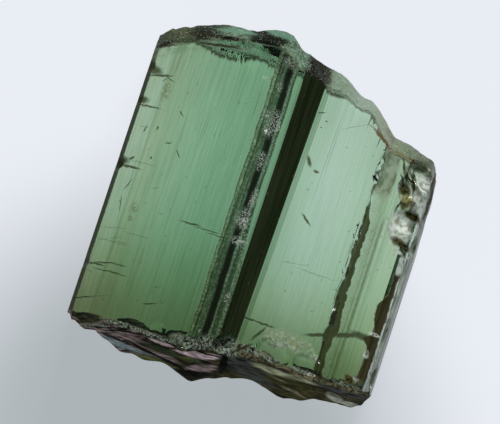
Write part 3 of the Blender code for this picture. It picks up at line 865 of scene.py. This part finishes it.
def paint_upper_break(paint):
    """The upper fracture, with its worn and mottled front edge, partly painted highlight and shade, and
    painted shade on the front faces below it.
    """
    upper = paint.rise(paint.share, 0.988, 0.997)
    near_front = paint.rise(paint.depth, 1.3, 0.8)
    worn = paint.product(upper, near_front)
    paint.cloud(BREAK_BROWN, 0.35, upper)
    worn_tint = paint.ramp(paint.parts(paint.ragged)[0], WORN_ACROSS, WIDTH)
    uneven_share = paint.rise(paint.across, 4.3, 4.7, 0.75, 0.3)
    worn_tint = paint.mix(uneven_share, worn_tint, paint.ramp(paint.grain, WORN_MOTTLE), "MULTIPLY")
    glassy = paint.rise(paint.across, 4.3, 4.7, 1.0, 0.65)
    paint.cloud(worn_tint, 0.9, worn, glassy)
    # painted shade on the front faces just below the worn edge, left of the step
    below = paint.rise(paint.share, 0.935, 0.985)
    uneven = paint.rise(paint.clouds(paint.drawn, (3, 7, 3), 3.0), 0.4, 0.62)
    paint.tinge(TOP_SHADE, paint.front, below, paint.rise(paint.across, 4.0, 3.6), uneven, 0.8)
    near_top = paint.product(paint.rise(paint.share, 0.9, 0.93), near_front)
    place = paint.wandering(paint.leaning, 4.0, (0.25, 0.12))
    # the worn edge's marks, their green coat a painted highlight
    paint_layers(paint, near_top, place, WORN_PAINT_AND_HIGHLIGHTS, 0.9)
    paint.cloud(FROST_WHITE, 0.6, worn, paint.rise(paint.crumbs, 0.66, 0.72), 0.6)
    paint.blur(0.2, worn)
    paint.blur(0.1, upper)


def paint_lower_break(paint):
    """The lower fracture: dark and shelly, its gloss partly painted as reflections and highlights, with a
    crushed front edge.
    """
    lower = paint.rise(paint.share, 0.012, 0.003)
    place = paint.wandering(paint.leaning, 2.5, (0.2, 0.07))
    patches = paint.clouds(place, (1.6, 7, 1), 3.0, (2, 0, 0))
    paint.cloud(paint.ramp(patches, BREAK_BLEND), 0.95, lower)
    lamellae = paint.rise(paint.clouds(paint.turned(place, 20), (1.5, 15, 1), 2.0), 0.44, 0.56)
    lamella_tint = paint.mix(lamellae, LAMELLA_DARK, LAMELLA_PALE)
    paint.cloud(lamella_tint, 0.9, lower, paint.rise(paint.across, 2.4, 1.7), 0.9)
    # the pink coats laid here are painted reflections, the thin brown lines painted highlights
    paint_layers(paint, lower, place, LOWER_PAINT_AND_REFLECTIONS, 0.93)
    streaks = paint.clouds(place, (3, 22, 1), 3.0, (9, 0, 0))
    paint.shade(paint.ramp(streaks, BREAK_STREAKS), lower)
    frayed = paint.wandering(paint.leaning, 8.0, (0.16, 0.16))
    rim = paint.rise(paint.depth, 0.6, 0.3)
    paint.cloud(paint.ramp(paint.grain, RIM_BLEND), 0.9, rim, paint.marks(frayed, BROWN_RIM, 0.5))
    crushed = paint.product(rim, paint.marks(frayed, CRUSHED_RIM, 0.4))
    paint.cloud(paint.ramp(paint.grain, CRUSHED_BLEND), 0.92, crushed)
    paint.cloud(FROST_WHITE, 0.85, crushed, paint.rise(paint.crumbs, 0.62, 0.7), 0.7)
    paint.blur(0.2, lower)
    paint.blur(0.25, crushed)
    paint.shells = paint.product(lower, paint.clouds(place, (2.2, 9, 1), 4.0))


def paint_marks(paint):
    """Cracks, scratches, stains, pits, frosted patches and the veil on the front faces."""
    scatter = random.Random(SCATTER_SEED + 2)
    scratches = [
        (
            *(scatter.uniform(*span) for span in SCRATCH_SPANS),
            scatter.choice((-20, -10, 0, 10, 20, 90)),
        )
        for _ in range(SCRATCHES)
    ]
    scribbled = paint.rise(paint.grain, 0.44, 0.54)
    stains = paint.on_front(paint.marks(paint.ragged, STAINS, 0.7), scribbled, 0.8)
    cracks = paint.on_front(paint.marks(paint.jagged, CRACKS))
    faint = paint.on_front(paint.marks(paint.jagged, FAINT_CRACKS), 0.55)
    scratched = paint.on_front(paint.marks(paint.jagged, scratches), 0.6)
    near_front = paint.rise(paint.depth, 0.9, 0.5)
    paint.cloud(BLOB_GREY, 0.8, near_front, paint.marks(paint.ragged, GREY_BLOBS, 0.25))
    pits = paint.product(near_front, paint.marks(paint.ragged, PITS, 0.5))
    frost = paint.product(near_front, paint.marks(paint.ragged, FROST_PATCHES, 0.25))
    paint.tinge(STAIN_TINT, stains)
    paint.tinge(CRACK_TINT, paint.highest(cracks, faint, scratched))
    facets = paint.clouds(paint.flat, (6, 6, 1), 3.0, (4, 4, 0))
    frosty = paint.rise(paint.grain, 0.3, 0.46)
    paint.cloud(paint.ramp(facets, FROST_BLEND), 0.85, frost, frosty, 0.9)
    paint.cloud(paint.ramp(paint.grain, PIT_BLEND), 0.92, pits)
    olive_pits = paint.product(near_front, paint.marks(paint.ragged, OLIVE_PITS, 0.5))
    paint.cloud(paint.ramp(paint.grain, OLIVE_PIT_BLEND), 0.85, olive_pits)
    folds = paint.maths("ABSOLUTE", paint.less(paint.clouds(paint.flat, (3.5, 5, 1), 2.0), 0.5))
    veil = paint.on_front(paint.marks(paint.ragged, VEILS, 0.25))
    patchy = paint.rise(facets, 0.42, 0.56, 0.25, 0.85)
    paint.cloud(paint.ramp(paint.grain, VEIL_BLEND), 0.8, veil, patchy)
    paint.cloud(VEIL_EDGE, 0.85, veil, paint.rise(folds, 0.035, 0.012), 0.8)
    paint.blur(0.5, frost)


def stone_material(sizes):
    """Clear green stone, frosted along the ridge and on the fractures, with healed cracks."""
    material = bpy.data.materials.new("green_tourmaline")
    material.use_nodes = True
    tree = material.node_tree
    paint = StonePaint(tree)
    paint_faces(paint)
    paint_ridge(paint)
    paint_ledge(paint)
    paint_edges(paint)
    paint_upper_break(paint)
    paint_lower_break(paint)
    paint_marks(paint)

    shader = tree.nodes["Principled BSDF"]
    shader.inputs["IOR"].default_value = STONE_IOR
    shader.inputs["Specular IOR Level"].default_value = 0.0
    tree.links.new(paint.colour, shader.inputs["Base Color"])
    tree.links.new(paint.maths("ADD", POLISH, paint.hazy), shader.inputs["Roughness"])
    tree.links.new(paint.less(1.0, paint.cloudy), shader.inputs["Transmission Weight"])

    bump = paint.node("Bump", {"Height": paint.grain, "Distance": GRAIN_BUMP})
    strength = paint.maths("MINIMUM", paint.product(paint.hazy, 2.0), 1.0)
    tree.links.new(strength, bump.inputs["Strength"])
    shells = {"Height": paint.shells, "Distance": SHELL_BUMP, "Normal": bump.outputs["Normal"]}
    tree.links.new(paint.node("Bump", shells).outputs["Normal"], shader.inputs["Normal"])

    absorbing = {"Color": (*sizes.absorbed, 1.0), "Density": sizes.absorption}
    volume = paint.node("VolumeAbsorption", absorbing)
    tree.links.new(volume.outputs["Volume"], tree.nodes["Material Output"].inputs["Volume"])
    return material


def add_piece(name, bm, material):
    """Make the finished mesh an object at the origin."""
    mesh = bpy.data.meshes.new(name)
    bm.to_mesh(mesh)
    bm.free()
    mesh.materials.append(material)
    piece = bpy.data.objects.new(name, mesh)
    bpy.context.scene.collection.objects.link(piece)
    return piece


class BuildCrystal(bpy.types.Operator):
    """Model the broken prism at full detail and give it its stone"""

    bl_idname = "tourmaline.crystal"
    bl_label = "Crystal"

    def execute(self, context):
        sizes = context.scene.tourmaline_crystal
        bm = prism_mesh(sizes)
        note_places(bm)
        lean_step(bm)
        break_ends(bm, sizes.relief / MM)
        bmesh.ops.triangulate(bm, faces=bm.faces[:], quad_method="BEAUTY", ngon_method="BEAUTY")
        chip_edges(bm)
        roughen(bm)
        place_in_solid(bm)
        bmesh.ops.recalc_face_normals(bm, faces=bm.faces[:])
        crystal = add_piece("crystal", bm, stone_material(sizes))
        crystal.data.shade_smooth()
        crystal.data.set_sharp_from_angle(angle=SHARP_ANGLE)
        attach(crystal, "root")
        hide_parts(CRYSTAL_NODE)
        return {"FINISHED"}


def floor_material(stage):
    """Pale matt surface that glows as a light table does, with a painted shadow past the lower fracture.
    """
    material = bpy.data.materials.new("pale_surface")
    material.use_nodes = True
    paint = Palette(material.node_tree)
    place = paint.node("TexCoord", {}).outputs["Object"]
    # painted shadow: the glow turns greyer around a point past the lower fracture
    pale = paint.rise(paint.measure("DISTANCE", place, SHADOW_CENTRE), *SHADOW_REACH)
    glow = paint.mix(pale, stage.shadow_colour, stage.glow_colour)
    far = paint.rise(paint.measure("LENGTH", place), *POOL_REACH)
    glow = paint.mix(far, glow, stage.far_colour)
    shader = material.node_tree.nodes["Principled BSDF"]
    for name, value in SURFACE_FINISH:
        shader.inputs[name].default_value = value
    material.node_tree.links.new(glow, shader.inputs["Emission Color"])
    return material


def add_area_light(name, place, size, power, colour):
    """A square soft light at place that faces the crystal."""
    data = bpy.data.lights.new(name, "AREA")
    data.size = size
    data.energy = power
    data.color = colour
    light = bpy.data.objects.new(name, data)
    light.location = place
    light.rotation_mode = "QUATERNION"
    light.rotation_quaternion = Vector(place).to_track_quat("Z", "Y")
    light.visible_camera = False
    bpy.context.scene.collection.objects.link(light)


class BuildStage(bpy.types.Operator):
    """Lay the pale surface, set the light and aim the camera"""

    bl_idname = "tourmaline.stage"
    bl_label = "Surface, light and camera"

    def execute(self, context):
        stage = context.scene.tourmaline_stage
        half = stage.floor_size / 2.0
        bm = bmesh.new()
        bmesh.ops.create_grid(bm, x_segments=1, y_segments=1, size=half)
        bmesh.ops.translate(bm, verts=bm.verts[:], vec=(0.0, 0.0, -SURFACE_DROP))
        floor = add_piece("surface", bm, floor_material(stage))

        world = bpy.data.worlds.new("studio")
        context.scene.world = world
        world.use_nodes = True
        background = world.node_tree.nodes["Background"]
        background.inputs["Color"].default_value = WORLD_COLOUR
        background.inputs["Strength"].default_value = WORLD_STRENGTH

        for softbox in SOFTBOXES:
            add_area_light(*softbox)
        context.scene.view_settings.view_transform = "Standard"
        self.aim_camera(context, stage)
        return {"FINISHED"}

    def aim_camera(self, context, stage):
        tilt, roll = stage.camera_tilt, stage.camera_roll
        towards = Vector((0.0, -math.sin(tilt), math.cos(tilt)))
        prism_up = Vector((0.0, math.cos(tilt), math.sin(tilt)))
        across = Vector((1, 0, 0))
        right = across * math.cos(roll) + prism_up * math.sin(roll)
        up = prism_up * math.cos(roll) - across * math.sin(roll)
        target = (FRAME_CENTRE - DRAWN_MIDDLE) * MM
        data = bpy.data.cameras.new("camera")
        data.sensor_width = 36.0
        data.lens = data.sensor_width * stage.camera_distance / stage.frame_width
        data.clip_start = 0.01
        data.clip_end = 2.0
        camera = bpy.data.objects.new("camera", data)
        turn = Matrix((right, up, towards)).transposed().to_4x4()
        camera.matrix_world = Matrix.Translation(target + towards * stage.camera_distance) @ turn
        context.scene.collection.objects.link(camera)
        context.scene.camera = camera


class CrystalPanel(bpy.types.Panel):
    """The crystal's pieces"""

    bl_idname = "VIEW3D_PT_tourmaline"
    bl_label = "Tourmaline crystal"
    bl_space_type = "VIEW_3D"
    bl_region_type = "UI"
    bl_category = "Crystal"

    def draw(self, context):
        for operator in (BuildStage, BuildCrystal):
            self.layout.operator(operator.bl_idname)


CLASSES = (CrystalSizes, StageSizes, BuildCrystal, BuildStage, CrystalPanel)


def register():
    for cls in CLASSES:
        bpy.utils.register_class(cls)
    bpy.types.Scene.tourmaline_crystal = bpy.props.PointerProperty(type=CrystalSizes)
    bpy.types.Scene.tourmaline_stage = bpy.props.PointerProperty(type=StageSizes)


def unregister():
    del bpy.types.Scene.tourmaline_stage
    del bpy.types.Scene.tourmaline_crystal
    for cls in reversed(CLASSES):
        bpy.utils.unregister_class(cls)


def main():
    """Build everything in order."""
    register()
    bpy.ops.tourmaline.stage()
    bpy.ops.tourmaline.crystal()


if __name__ == "__main__":
    main()
